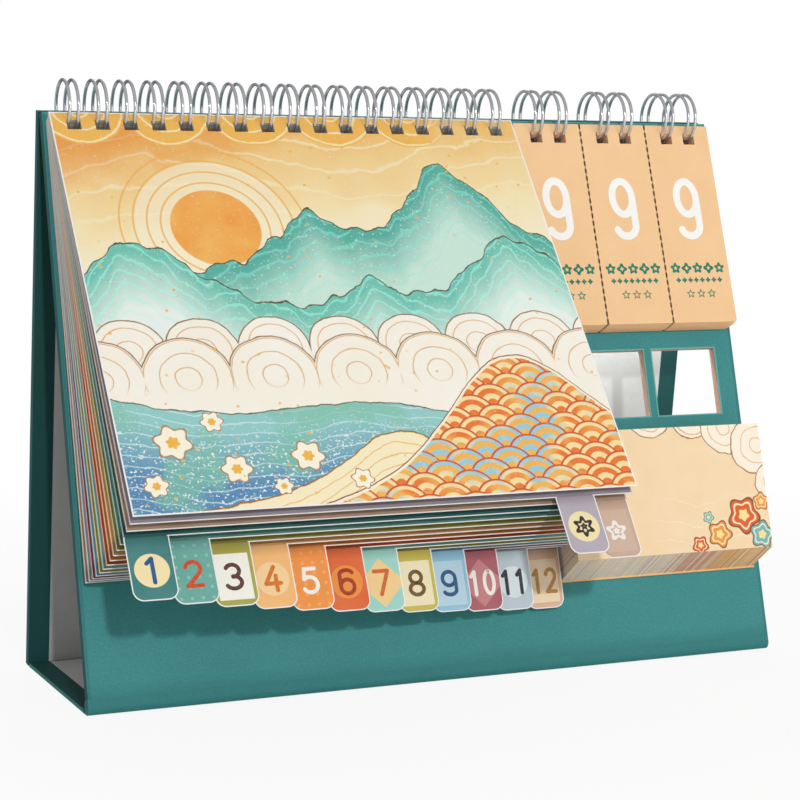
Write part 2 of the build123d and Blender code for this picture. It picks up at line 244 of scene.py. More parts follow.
def teal_wrap(part):
    """Matt cover paper: mottled teal with a fine embossed grain. Painted highlight: paler along its folds and
    round the windows.
    Painted shade: darker at the bottom of the front board and crease, at the front board's ends and where it is
    turned in; end faces painted darker, the base's paler."""
    finish = Finish("teal_wrap_" + part, roughness=0.6, specular_ior_level=0.15)
    if part == "front_board":
        x, up, out = leaf_place(finish, TILT)
        inner, foot_shade = out.below(BOARD_INNER + 0.1, 0.1), up.below(FOOT_FOLD, 5.0)
    elif part == "back_board":
        x, up, out = leaf_place(finish, -BACK_TILT)
        inner = out.above(BACK_INNER - 0.1, 0.1)
    else:
        x, up, out = finish.place()
        inner, foot_shade = out.above(BASE_TOP - 0.1, 0.1), out.above(0.8, 0.6)
    rim = HALF_WIDE - abs(x)
    mottle = finish.noise(x, up, out, 26.0, 4.0)
    grain = finish.noise(x, up, out, 0.55, 3.0)
    shade = finish.blend(mottle.above(0.5, 0.7), ink(64, 138, 138), ink(70, 147, 147))
    shade = finish.blend(grain.above(0.62, 0.2) * 0.22, shade, ink(98, 176, 174))
    shade = finish.blend(grain.below(0.38, 0.2) * 0.22, shade, ink(40, 108, 108))
    # painted highlight: a paler line along the board ends, the top fold and round the windows, where rounded
    # edges would catch light
    pale = rim.near(0.2, 0.1, 0.1) * 0.2
    if part == "front_board":
        pale = pale.most(up.near(TOP_FOLD, 0.15, 0.15) * 0.4)
        for left, wide in WINDOWS:
            reach = abs(x - (left + wide / 2)) - wide / 2
            reach = reach.most(abs(up - (WINDOW_TOP - WINDOW_HIGH / 2)) - WINDOW_HIGH / 2)
            pale = pale.most(reach.below(0.4, 0.2) * 0.6)
    shade = finish.blend(pale, shade, ink(132, 205, 200))
    if part == "front_board":
        # painted shade: darker within a millimetre of the front board's ends
        shade = finish.blend(rim.below(0.9, 0.4) * 0.4, shade, SHADED_TEAL)
    if part in ("front_board", "crease"):
        # painted shade: a darker band along the bottom of the front board and over the crease, leaving the
        # crease's lowest edge lighter
        shade = finish.blend(foot_shade * 0.35, shade, SHADED_TEAL)
    # painted shade: the hinge and the turned-in faces inside the easel are darkened
    if part == "hinge":
        shade = finish.blend(0.9, shade, INSIDE_SHADE_TEAL)
    elif part != "crease":
        # end faces: painted shade on the upright boards, a painted highlight on the base
        end = ink(64, 150, 142) if part == "base_board" else ink(26, 84, 82)
        # painted shade on the turned-in faces
        shade = finish.blend(inner * 0.9, shade, INSIDE_SHADE_TEAL)
        shade = finish.blend(rim.below(0.03, 0.02) * 0.7, shade, end)
    finish.wear("Base Color", shade)
    finish.wear("Roughness", mottle * 0.1 + grain * 0.12 + 0.5)
    finish.relief(grain + mottle * 0.3, 0.05, 0.45)
    return finish.material


def greyboard():
    """Raw cut board: warm tan layers with paler flecks."""
    finish = Finish("greyboard", roughness=0.9, specular_ior_level=0.15)
    x, up, out = leaf_place(finish, TILT)
    layers = finish.noise(x * 0.08, up * 0.08, out, 0.4, 3.0)
    flecks = finish.noise(x, up, out, 0.5, 3.0)
    shade = finish.blend(layers.above(0.5, 0.4), ink(204, 160, 134), ink(234, 200, 176))
    shade = finish.blend(flecks.above(0.6, 0.2) * 0.5, shade, ink(244, 222, 204))
    finish.wear("Base Color", shade)
    finish.wear("Roughness", flecks * 0.2 + 0.75)
    finish.relief(layers + flecks, 0.12, 0.7)
    return finish.material


def grey_liner():
    """Plain grey lining paper with faint clouding and fibres."""
    finish = Finish("grey_liner", roughness=0.75, specular_ior_level=0.2)
    x, y, z = finish.place()
    cloud = finish.noise(x, y, z, 14.0, 4.0)
    fibre = finish.noise(x, y * 0.25, z * 0.25, 0.4, 3.0)
    shade = finish.blend(cloud.above(0.5, 0.6), ink(190, 190, 188), ink(206, 206, 204))
    shade = finish.blend(fibre.above(0.66, 0.15) * 0.35, shade, ink(166, 166, 165))
    finish.wear("Base Color", shade)
    finish.wear("Roughness", fibre * 0.2 + 0.65)
    finish.relief(fibre, 0.03, 0.5)
    return finish.material


def ring_metal():
    """Bright nickel plate with faint drawing marks."""
    finish = Finish("ring_wire", metallic=0.8, roughness=0.2, specular_tint=(0.12, 0.12, 0.13, 1.0))
    x, y, z = finish.place()
    marks = finish.noise(x * 6, y, z, 1.5, 3.0)
    shade = finish.blend(marks, ink(206, 208, 212), ink(238, 239, 241))
    finish.wear("Base Color", shade)
    finish.wear("Roughness", marks * 0.12 + 0.08)
    finish.relief(marks, 0.01, 0.3)
    return finish.material


# ---------------------------------------------------------------- sheets

def leaf_top(back, thick):
    """Top edge of a leaf from the ring axis: it hangs on the slanting wire by the upper edge of its holes."""
    middle = back + thick / 2
    depth = sqrt(RING_RADIUS ** 2 - middle ** 2)
    room = WIRE_ROOM * RING_RADIUS / depth + thick / 2 * middle / depth
    return HOLE_DROP - (depth + HOLE_HALF - room)


def sheet_values(index):
    """Angle, back face and top edge of a sheet counted from the board."""
    back = SHEET_BACK + SHEET_STEP * index
    return TILT + SHEET_ANGLE + SHEET_FAN * index, back, leaf_top(back, SHEET_THICK)


def tab_place(index):
    """Place of a sheet's tab in the row: the months from the left, the two index sheets at the right end."""
    return (-1 - index) % MONTHS


def leaf_slot(index):
    """Material slot of a month or index sheet."""
    return "month_%02d_print" % (MONTHS - index) if index < MONTHS else "index_%d_print" % (COVER - index)


PALE, WHITE = ink(250, 246, 236), ink(250, 249, 246)
MARGIN, GRID_TOP, DAY_WIDE, DAY_HIGH = 9.0, 36.0, 18.714, 15.0
# Leaf colour, tab panel shape, panel colour, numeral colour, from the board outwards (month 12 first)
LEAVES = (
    ((222, 180, 148), "plate", (244, 220, 186), (190, 132, 58)),
    ((188, 203, 210), "disc", (222, 232, 236), (44, 46, 52)),
    ((174, 90, 100), "diamond", (204, 134, 138), (252, 244, 236)),
    ((148, 198, 224), "plate", (190, 220, 234), (44, 86, 134)),
    ((204, 188, 76), "plate", (248, 236, 196), (112, 84, 40)),
    ((158, 218, 204), "diamond", (250, 214, 150), (214, 102, 44)),
    ((230, 104, 46), "disc", (244, 152, 70), (172, 54, 26)),
    ((246, 150, 66), "none", (250, 176, 96), (253, 248, 238)),
    ((250, 190, 118), "disc", (252, 216, 160), (222, 118, 36)),
    ((172, 166, 66), "plate", (250, 248, 238), (92, 58, 44)),
    ((104, 172, 160), "none", (140, 198, 184), (212, 76, 36)),
    ((56, 126, 124), "disc", (250, 232, 178), (36, 88, 146)),
    ((204, 170, 146), "plate", (214, 184, 162), (246, 240, 230)),
    ((180, 170, 182), "disc", (246, 230, 176), (56, 48, 46)),
)


def print_base(index, name):
    """A sheet's finish with its print coordinates: u from the left edge, v down from the top edge,
    front and back masks."""
    angle, back, top = sheet_values(index)
    finish = Finish(name, roughness=0.5, specular_ior_level=0.35)
    x, up, out = leaf_place(finish, angle)
    u, v = x - SHEET_LEFT, top - up
    front = out.above(back + 0.8 * SHEET_THICK, 0.02)
    rear = out.below(back + 0.2 * SHEET_THICK, 0.02)
    paper_surface(finish, x, up, out)
    return finish, u, v, front, rear


def rear_print(finish, u, v, tint):
    """Back of a sheet: pale paper with a tinted frame and ruled lines."""
    rim = u.least(SHEET_WIDTH - u).least(v - 8).least(SHEET_LENGTH - v)
    lines = (v % 8.0).below(0.35, 0.1) * rim.above(9.0)
    ruled = finish.blend(lines * 0.6, PALE, tint)
    return finish.blend(rim.near(6.0, 0.6) * 0.8, ruled, tint)


def leaf_print(index):
    """Month or index sheet: coloured field with a white cut edge, a pale day grid, and a tab with its panel.
    The field is printed darker as painted shade where it shows between the leaves, and the tab's root has
    painted shade too.
    """
    colour, panel, panel_colour, _ = LEAVES[index]
    finish, u, v, front, rear = print_base(index, leaf_slot(index))
    tint, light = ink(*colour), ink(*[c + (255 - c) * 0.4 for c in colour])
    deep_ink_and_shade = ink(*[c * (0.64 if index < MONTHS else 0.76) for c in colour])
    wash = finish.noise(u, v, 0.0, 9.0, 3.0)
    # painted shade: the field is mostly the darker tone, for the strips seen between the leaves; header and day
    # marks use that tone as print
    field = finish.blend(wash.above(0.5, 0.5) * 0.3, deep_ink_and_shade, tint)
    ground = finish.blend(wash.above(0.5, 0.6) * 0.22, tint, light)
    side = u.least(SHEET_WIDTH - u)
    rim = side.least(v).least(SHEET_LENGTH - v)
    # side margins: the plain tint, brighter than the painted-shade field, paler towards the rings
    field = finish.blend(side.below(7.0, 2.0) * v.below(SHEET_LENGTH - 4.0, 3.0) * 0.75, field, tint)
    field = finish.blend(side.below(5.0, 2.0) * v.below(44.0, 70.0) * 0.75, field, ink(226, 223, 218))
    # day grid: seven columns and six rows inside a frame, under a header band
    inside = side.above(MARGIN) * v.above(16.0) * v.below(SHEET_LENGTH - 8.0)
    sheet = finish.blend(inside, field, PALE)
    header = inside * v.below(34.0) * v.above(18.0) * side.above(11.0)
    sheet = finish.blend(header, sheet, deep_ink_and_shade)
    days = inside * v.above(GRID_TOP)
    day_u, day_v = (u - MARGIN) % DAY_WIDE, (v - GRID_TOP) % DAY_HIGH
    sheet = finish.blend(days * day_v.below(0.4).most(day_u.below(0.4)) * 0.75, sheet, tint)
    marks = spread(day_u, day_v, 3.4, 3.6).below(1.1)
    sheet = finish.blend(days * marks * 0.8, sheet, deep_ink_and_shade)
    # tab: rounded white cut edge, panel behind the numeral
    tu, tv = u - TAB_WIDE * (tab_place(index) + 0.5), v - SHEET_LENGTH
    reach, drop = abs(tu), abs(tv - TAB_MIDDLE)
    corner_u = (reach - (TAB_WIDE / 2 - TAB_ROUND)).most(0.0)
    corner_v = (tv - (TAB_TALL - TAB_ROUND)).most(0.0)
    inset = TAB_ROUND - span(corner_u, corner_v)
    if panel == "disc":
        shape = span(reach, drop).below(4.8)
    elif panel == "diamond":
        shape = (reach + drop).below(7.2)
    elif panel == "plate":
        shape = (reach - 4.9).most(drop - 6.6).below(0.0)
    else:
        shape = spread(tu % 3.0, tv % 3.0, 1.5, 1.5).below(0.5)
    tab = finish.blend(shape * tv.above(0.6), ground, ink(*panel_colour))
    # painted shade: the top of the tab is darker where the leaf in front hangs over it
    tab = finish.blend(tv.below(1.6, 3.0) * 0.5, tab, deep_ink_and_shade)
    on_tab = v.above(SHEET_LENGTH - 0.02, 0.02) * reach.below(TAB_WIDE / 2)
    sheet = finish.blend(on_tab, sheet, tab)
    joined = reach.below(TAB_WIDE / 2 - 0.5) * v.above(SHEET_LENGTH - 3.0)
    edge = rim.below(0.24).least(side.above(0.14, 0.06).most(v.below(0.3))) * (1 - on_tab) * (1 - joined)
    edge = edge.most(on_tab * inset.below(0.3))
    sheet = finish.blend(edge, sheet, WHITE)
    cut = finish.blend(0.15, WHITE, tint)
    shade = finish.blend(rear, cut, rear_print(finish, u, v, tint))
    finish.wear("Base Color", finish.blend(front, shade, sheet))
    return finish.material


def cover_print():
    """Cover: a layered landscape with a speckled gold sky, a low sun, teal ridges, white mist, a blue lake,
    a pale dune and a scalloped orange hill."""
    finish, u, v, front, rear = print_base(COVER, "cover_print")
    wash = finish.noise(u, v, 0.0, 22.0, 5.0)
    stir = finish.noise(u, v, 4.0, 7.0, 4.0)
    dust = finish.noise(u, v, 9.0, 0.8, 2.0)
    # sky
    tone = v + wash * 34.0 + u * 0.1 - 20.0
    sky = finish.blend(tone.above(26.0, 36.0), ink(246, 194, 108), ink(253, 234, 182))
    sky = finish.blend(tone.above(50.0, 28.0), sky, ink(254, 244, 218))
    streams = ((v + (u * 0.055).sine() * 7.0 + wash * 16.0) % 9.0).near(4.5, 0.45, 0.5) * tone.below(48.0, 20.0)
    sky = finish.blend(streams * 0.7, sky, ink(253, 238, 196))
    ember = (tone + u * 0.18).below(20.0, 18.0)
    sky = finish.blend(ember * 0.65, sky, ink(240, 148, 60))
    puff = span((u + 4.0) % 26.0 - 13.0, v + 2.0) + stir * 2.4
    rings = finish.blend((puff % 4.6).below(0.7, 0.2), ink(247, 190, 92), ink(253, 232, 176))
    sky = finish.blend(puff.below(15.0, 0.5) * u.below(120.0, 8.0), sky, rings)
    # sun with rings
    sun = spread(u, v, 42.0, 42.0)
    sky = finish.blend(sun.below(24.0, 1.0) * 0.6, sky, ink(254, 244, 214))
    sky = finish.blend((sun % 4.0).below(0.55, 0.2) * sun.below(30.0, 3.0) * 0.8, sky, ink(246, 184, 84))
    sky = finish.blend(sun.below(13.5, 0.3), sky, finish.blend(stir, ink(246, 150, 58), ink(252, 200, 108)))
    # ridges: base line, peaks by place, height and width, dark and light tone
    art = sky
    ridges = (
        (60.0, ((118.0, 40.0, 19.0), (70.0, 18.0, 12.0)), (90, 180, 164), (206, 237, 222)),
        (82.0, ((134.0, 34.0, 22.0), (16.0, 34.0, 24.0), (84.0, 12.0, 10.0)), (116, 200, 182), (238, 248, 240)),
    )
    for base, peaks, dark, light in ridges:
        crest = (u * 0.42).sine() * 0.9 + (u * 0.93 + 1.0).sine() * 0.5 + stir * 5.0 + (base - 2.5)
        for place, high, wide in peaks:
            lean = (u - place) / wide
            crest = crest - high / (lean * lean + 1.0)
        below = v - crest
        brush = ((below * 0.55 + (u * 0.16).sine() * 2.0 + stir * 7.0) % 2.6).below(0.55, 0.4)
        tone = finish.blend(below.above(13.0, 20.0), ink(*dark), ink(*light))
        pale = ink(*[min(255, c + 52) for c in dark])
        tone = finish.blend(brush * below.below(24.0, 14.0) * 0.55, tone, pale)
        tone = finish.blend(dust.above(0.66, 0.08) * 0.5, tone, ink(228, 244, 232))
        art = finish.blend(below.above(0.0, 0.25), art, tone)
        art = finish.blend(below.near(0.0, 0.26, 0.16), art, ink(96, 92, 66))
    # mist: rows of white puffs with gold rims
    for row, pitch, size, shift in ((84.0, 21.0, 11.5, 2.0), (93.0, 25.0, 14.0, 14.0)):
        puff = span((u + shift) % pitch - pitch / 2, v - row) + stir * 1.6
        cloud = puff.below(size, 0.3).most(v.above(row + 3.0, 0.5))
        art = finish.blend(cloud, art, finish.blend(wash, ink(255, 253, 247), ink(250, 240, 216)))
        rings = (puff % 4.4).below(0.36, 0.2) * puff.below(size, 0.3) * v.below(row + 3.0, 4.0)
        art = finish.blend(rings * 0.85, art, ink(224, 172, 100))
        art = finish.blend(puff.near(size, 0.2, 0.16) * v.below(row + 1.0, 2.0), art, ink(150, 112, 70))
    # lake: teal at the shore, blue and speckled further down
    shore = v - ((u * 0.06).sine() * 3.0 + u * 0.1 + stir * 3.0 + 97.0)
    ripple = ((shore + (u * 0.21).sine() * 0.9) % 3.4).below(0.42, 0.2)
    lake = finish.blend(shore.above(14.0, 18.0), ink(150, 208, 204), ink(92, 142, 184))
    lake = finish.blend(ripple * 0.7, lake, ink(214, 236, 238))
    lake = finish.blend(wash.above(0.54, 0.08) * 0.7, lake, ink(132, 198, 174))
    lake = finish.blend(dust.above(0.62, 0.05) * shore.above(8.0, 10.0), lake, ink(240, 246, 244))
    art = finish.blend(shore.above(0.0, 0.3), art, lake)
    art = finish.blend(shore.near(0.0, 0.2, 0.16), art, ink(110, 104, 80))
    # pale dune with gold contours between the lake and the hill
    lean = (u - 80.0) / 24.0
    dune = v - (136.0 - 25.0 / (lean * lean + 1.0) + stir * 3.0)
    sand = finish.blend((dune % 3.4).below(0.4, 0.2) * 0.8, ink(254, 240, 200), ink(240, 190, 104))
    art = finish.blend(dune.above(0.0, 0.3), art, sand)
    art = finish.blend(dune.near(0.0, 0.22, 0.16), art, ink(158, 112, 62))
    # scalloped hill
    lean = (u - 122.0) / 50.0
    swell = lean * lean + 1.0
    hill = v - (140.0 - 52.0 / (swell * swell) + stir * 1.5)
    scale = scallops(u, v, 7.0)
    band = (scale / 1.75).floor() % 2.0
    leafy = finish.blend(wash.above(0.5, 0.1), ink(240, 124, 54), ink(248, 186, 92))
    stripe = finish.blend(wash.above(0.56, 0.1), ink(252, 226, 164), ink(158, 208, 222))
    leafy = finish.blend(band, leafy, stripe)
    leafy = finish.blend(scale.above(6.4, 0.3), leafy, ink(214, 90, 46))
    art = finish.blend(hill.above(0.0, 0.3), art, leafy)
    art = finish.blend(hill.near(0.4, 0.5, 0.2), art, ink(254, 244, 220))
    art = finish.blend(hill.near(-0.25, 0.2, 0.14), art, ink(150, 84, 48))
    # blossoms by the water and gold dots
    blossoms = (
        (15, 113, 5.6, 0.0), (31, 122, 4.6, 1.2), (27, 107, 3.4, 2.0), (52, 119, 5.0, 0.7),
        (8, 126, 3.6, 2.6), (66, 127, 3.4, 0.3), (43, 128, 2.8, 1.7),
    )
    for u0, v0, size, turn in blossoms:
        bloom = blossom(u, v, u0, v0, size, 6, turn)
        art = finish.blend(bloom.below(1.0, 0.06), art, ink(255, 248, 226))
        art = finish.blend(bloom.near(0.98, 0.06, 0.05) * 0.9, art, ink(170, 124, 66))
        art = finish.blend(bloom.below(0.36, 0.05), art, ink(246, 186, 70))
    cells = finish.node("ShaderNodeCombineXYZ", {}, {0: u, 1: v, 2: 0.0})
    dots = finish.node("ShaderNodeTexVoronoi", {}, {"Vector": cells, "Scale": 0.2})
    fleck = dots.below(0.1, 0.04) * wash.above(0.46, 0.1)
    art = finish.blend(fleck * 0.85, art, ink(246, 190, 76))
    art = finish.blend(dust.above(0.68, 0.08) * 0.35, art, ink(255, 246, 222))
    rim = u.least(SHEET_WIDTH - u).least(v).least(SHEET_LENGTH - v)
    art = finish.blend(rim.below(0.4, 0.1), art, WHITE)
    shade = finish.blend(rear, WHITE, rear_print(finish, u, v, ink(250, 200, 100)))
    finish.wear("Base Color", finish.blend(front, shade, art))
    return finish.material


# ---------------------------------------------------------------- counter cards

def card_values(index):
    """Angle, back face and top edge of a counter card counted from the board."""
    back = CARD_BACK + CARD_STEP * index
    return TILT + CARD_ANGLE + CARD_FAN * index, back, leaf_top(back, CARD_THICK)


def pack_middle(pack):
    """Middle of a pack of cards across the board."""
    return CARD_LEFT + CARD_PITCH * pack + CARD_WIDTH / 2


def card_stock(index):
    """Peach card: fine fibre, warm cut edges, dashed tear lines on both sides of each seam between packs.
    Alternate pairs of cards get paler and darker cut edges as painted shade for the lines between the cards.
    """
    angle, back, top = card_values(index)
    finish = Finish("card_stock_%d" % index, roughness=0.55, specular_ior_level=0.3)
    x, up, out = leaf_place(finish, angle)
    v = top - up
    front = out.above(back + 0.8 * CARD_THICK, 0.02)
    rear = out.below(back + 0.2 * CARD_THICK, 0.02)
    paper_surface(finish, x, up, out, 0.025)
    cloud = finish.noise(x, up, 0.0, 12.0, 4.0)
    fibre = finish.noise(x, up, 3.0, 0.5, 3.0)
    face = finish.blend(cloud.above(0.5, 0.7), ink(246, 200, 148), ink(250, 208, 158))
    face = finish.blend(fibre.above(0.64, 0.12) * 0.25, face, ink(255, 226, 188))
    across = (x - CARD_LEFT) % CARD_PITCH
    # painted shade: alternate pairs of cards get paler and darker cut edges, for the lines between the cards
    layer = (255, 188, 150) if index // 2 % 2 else (248, 160, 122)
    edge = finish.blend(fibre * 0.5, ink(*layer), ink(255, 206, 170))
    shade = finish.blend(front.most(rear), edge, face)
    seam = across.above(CARD_WIDTH - 0.2, 0.06) * x.below(CARD_LEFT + 2.5 * CARD_PITCH, 0.1)
    seam = seam.most(across.below(0.16, 0.06) * x.above(CARD_LEFT + 0.5 * CARD_PITCH, 0.1))
    dash = (v % 2.5).below(1.55, 0.1).most(v.above(CARD_LENGTH - 0.1, 0.05))
    finish.wear("Base Color", finish.blend(seam * dash * 0.9, shade, ink(60, 48, 26)))
    return finish.material


def print_ink(name, colour, uneven=0.12):
    """Printed ink: one colour, slightly uneven in cover and gloss."""
    finish = Finish(name, roughness=0.5, specular_ior_level=0.3)
    x, y, z = finish.place()
    cover = finish.noise(x, y, z, 0.9, 3.0)
    thin = ink(*[c + (255 - c) * uneven for c in colour])
    finish.wear("Base Color", finish.blend(cover.above(0.55, 0.3), ink(*colour), thin))
    finish.wear("Roughness", cover * 0.2 + 0.4)
    return finish.material


# ---------------------------------------------------------------- memo pad

def note_art(finish, x, up):
    """Print of a note: pale peach with cream puffs along its top and right and blossoms in its lower corner."""
    u, v = x - MEMO_LEFT, MEMO_TOP + MEMO_LEAN - up
    wash = finish.noise(u, v, 0.0, 10.0, 4.0)
    stir = finish.noise(u, v, 2.0, 5.0, 3.0)
    art = finish.blend(wash.above(0.5, 0.7), ink(249, 216, 172), ink(252, 226, 186))
    waves = ((v + (u * 0.24).sine() * 1.6 + stir * 5.0) % 6.5).below(0.3, 0.2)
    waves = waves * v.above(22.0, 4.0) * u.above(30.0, 8.0)
    art = finish.blend(waves * 0.6, art, ink(255, 244, 222))
    puffs = (
        (10.0, -4.0, 9.0), (30.0, -5.0, 9.0), (45.0, -3.0, 8.0),
        (57.0, 1.0, 9.5), (68.0, 7.0, 10.5), (72.0, 19.0, 7.0),
    )
    for u0, v0, size in puffs:
        puff = spread(u, v, u0, v0) + stir * 2.4
        lines = finish.blend((puff % 3.4).below(0.32, 0.2) * 0.8, ink(254, 243, 222), ink(226, 168, 104))
        art = finish.blend(puff.below(size, 0.2), art, lines)
        art = finish.blend(puff.near(size, 0.18, 0.14), art, ink(170, 112, 66))
    red, blue, gold = (226, 104, 52), (120, 188, 186), (240, 160, 70)
    blossoms = (
        (60.5, 29.0, 6.0, 0.4, red), (66.5, 35.5, 4.6, 2.0, blue), (51.0, 34.5, 4.4, 1.2, gold),
        (43.5, 37.5, 3.0, 0.0, red), (67.5, 25.0, 3.0, 2.8, gold), (47.5, 29.0, 2.0, 0.8, blue),
    )
    for u0, v0, size, turn, petal in blossoms:
        bloom = blossom(u, v, u0, v0, size, 5, turn)
        art = finish.blend(bloom.below(1.0, 0.05), art, ink(*petal))
        art = finish.blend(bloom.near(0.72, 0.06, 0.06), art, ink(253, 236, 200))
        art = finish.blend(bloom.below(0.34, 0.06), art, ink(253, 228, 160))
        art = finish.blend(bloom.near(1.0, 0.05, 0.04), art, ink(132, 82, 50))
    return art


def memo_print():
    """Front note: printed face, plain back and tinted cut edges."""
    finish = Finish("memo_print", roughness=0.6, specular_ior_level=0.2)
    x, up, out = leaf_place(finish, TILT)
    paper_surface(finish, x, up, out)
    front = out.above(MEMO_FACE - 0.05, 0.03)
    cloud = finish.noise(x, up, 0.0, 10.0, 4.0)
    edge = finish.blend(cloud, ink(238, 206, 168), ink(248, 220, 186))
    finish.wear("Base Color", finish.blend(front, edge, note_art(finish, x, up)))
    return finish.material


def memo_edges():
    """Block of notes: hair-fine sheet lines, streaks along the lean where the print runs off the cut edge,
    and the next note's print in front."""
    finish = Finish("memo_edges", roughness=0.8, specular_ior_level=0.2)
    x, up, out = leaf_place(finish, TILT)
    sheets = finish.noise(x * 0.03, 0.0, out, 0.16, 2.0)
    level = up - MEMO_RISE * out
    streak = finish.noise(x, level, 0.0, 0.9, 2.0)
    broad = finish.noise(x, level, 5.0, 5.0, 3.0)
    shade = finish.blend(broad.above(0.5, 0.2), ink(250, 226, 212), ink(255, 234, 204))
    warm = x.above(76.0, 10.0)
    shade = finish.blend(warm * broad.above(0.47, 0.12) * 0.8, shade, ink(226, 150, 120))
    shade = finish.blend(x.above(90.0, 10.0) * 0.75, shade, ink(252, 190, 100))
    shade = finish.blend(streak.above(0.58, 0.06) * (warm * 0.4 + 0.4), shade, ink(190, 124, 100))
    shade = finish.blend(streak.below(0.42, 0.06) * 0.75, shade, ink(252, 238, 220))
    shade = finish.blend(sheets.above(0.56, 0.12) * 0.25, shade, ink(254, 244, 230))
    shade = finish.blend(sheets.below(0.42, 0.1) * 0.2, shade, ink(176, 132, 112))
    front = out.above(MEMO_FACE - SHEET_THICK - 0.05, 0.03)
    finish.wear("Base Color", finish.blend(front, shade, note_art(finish, x, up)))
    finish.wear("Roughness", sheets * 0.2 + 0.65)
    finish.relief(sheets, 0.1, 0.5)
    return finish.material


def memo_card():
    """Backing card: tan board with a dark brown back."""
    finish = Finish("memo_backing", roughness=0.8, specular_ior_level=0.2)
    x, up, out = leaf_place(finish, TILT)
    fibre = finish.noise(x, up, out, 0.5, 3.0)
    shade = finish.blend(fibre, ink(232, 178, 116), ink(244, 196, 138))
    shade = finish.blend(out.below((BOARD_FRONT + MEMO_BASE) / 2, 0.1) * 0.85, shade, ink(84, 52, 30))
    finish.wear("Base Color", shade)
    finish.wear("Roughness", fibre * 0.2 + 0.65)
    finish.relief(fibre, 0.04, 0.5)
    return finish.material


# ---------------------------------------------------------------- new pieces

# Points along a ring's leg, round its tip, round a corner, round the wire, round the end of a stroke
LEG_POINTS, TIP_POINTS, CORNER_POINTS, WIRE_SIDES, CAP_POINTS = 72, 11, 6, 12, 7
# Millimetres between layers of print, and their number
INK_LIFT, INK_LAYERS = 0.02, 3


def piece(name, points, faces, material, body, smooth=False):
    """A finished mesh riding on a body: its place is in its points."""
    mesh = bpy.data.meshes.new(name)
    mesh.from_pydata(np.asarray(points).reshape(-1, 3).tolist(), [], faces)
    mesh.polygons.foreach_set("use_smooth", np.full(len(mesh.polygons), smooth))
    for finish in material if isinstance(material, (list, tuple)) else [material]:
        mesh.materials.append(finish)
    mesh.update()
    made = bpy.data.objects.new(name, mesh)
    bpy.context.scene.collection.objects.link(made)
    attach(made, body)
    return made


def strip_faces(rows, columns, closed=False):
    """Quads of a grid of rows by columns, joined round the columns where it is closed."""
    last = columns if closed else columns - 1
    r, c = np.meshgrid(np.arange(rows - 1), np.arange(last), indexing="ij")
    n = (c + 1) % columns
    quads = np.stack([r * columns + c, r * columns + n, (r + 1) * columns + n, (r + 1) * columns + c], -1)
    return quads.reshape(-1, 4)


def ring_path(stations):
    """Centre line of a twin-loop wire: up one leg round the axis, round the tip, back down the other leg,
    and along to the next loop."""
    root, tip, half, bend = radians(27.2), radians(363.0), TWIN / 2, 1.0
    leg = np.linspace(root, tip, LEG_POINTS)
    turn, corner = np.linspace(0, pi, TIP_POINTS + 2)[1:-1], np.linspace(0, pi / 2, CORNER_POINTS + 1)
    away, home = corner[1:], corner[:-1]
    next_leg = RING_PITCH - half - bend

    def points(*columns):
        """Rows of shift along X, angle round the ring, shift along the ring's tangent."""
        return np.stack(np.broadcast_arrays(*columns), -1)

    loop = np.concatenate([
        points(-half, leg, 0.0),
        points(-half * np.cos(turn), tip, half * np.sin(turn)),
        points(half, leg[::-1], 0.0),
        points(half + bend * (1 - np.cos(away)), root, -bend * np.sin(away)),
        points(next_leg + bend * np.sin(home), root, -bend * np.cos(home)),
    ])
    run = np.asarray(stations)[:, None, None] * np.array([1.0, 0, 0]) + loop
    run = run.reshape(-1, 3)[:-2 * CORNER_POINTS]
    y = AXIS_Y + RING_RADIUS * np.sin(run[:, 1]) + run[:, 2] * np.cos(run[:, 1])
    z = AXIS_Z - RING_RADIUS * np.cos(run[:, 1]) + run[:, 2] * np.sin(run[:, 1])
    return np.stack([run[:, 0], y, z], -1)


def ring_tube(stations):
    """Round wire carried along the path, its section squared to it by the direction away from the ring axis."""
    path = ring_path(stations)
    ahead = np.gradient(path, axis=0)
    ahead /= np.linalg.norm(ahead, axis=1, keepdims=True)
    away = path - np.array([0, AXIS_Y, AXIS_Z])
    away[:, 0] = 0
    away -= ahead * np.sum(away * ahead, 1, keepdims=True)
    away /= np.linalg.norm(away, axis=1, keepdims=True)
    side = np.cross(ahead, away)
    angle = np.linspace(0, 2 * pi, WIRE_SIDES, endpoint=False)[None, :, None]
    section = away[:, None] * np.cos(angle) + side[:, None] * np.sin(angle)
    points = (path[:, None] + section * WIRE_RADIUS) / 1000
    faces = strip_faces(len(path), WIRE_SIDES, True).tolist()
    cap = np.arange(WIRE_SIDES)
    faces += [cap[::-1].tolist(), (cap + (len(path) - 1) * WIRE_SIDES).tolist()]
    return points.reshape(-1, 3), faces


def arc(u0, v0, ru, rv, start, end, count=28):
    """Points of an elliptical arc, degrees anticlockwise from the right."""
    a = np.radians(np.linspace(start, end, count))
    return np.stack([u0 + ru * np.cos(a), v0 + rv * np.sin(a)], -1)


def bow(p, q, r, count=18):
    """Quadratic curve from p to r drawn towards q."""
    t = np.linspace(0, 1, count)[:, None]
    return (1 - t) ** 2 * np.array(p) + 2 * t * (1 - t) * np.array(q) + t ** 2 * np.array(r)


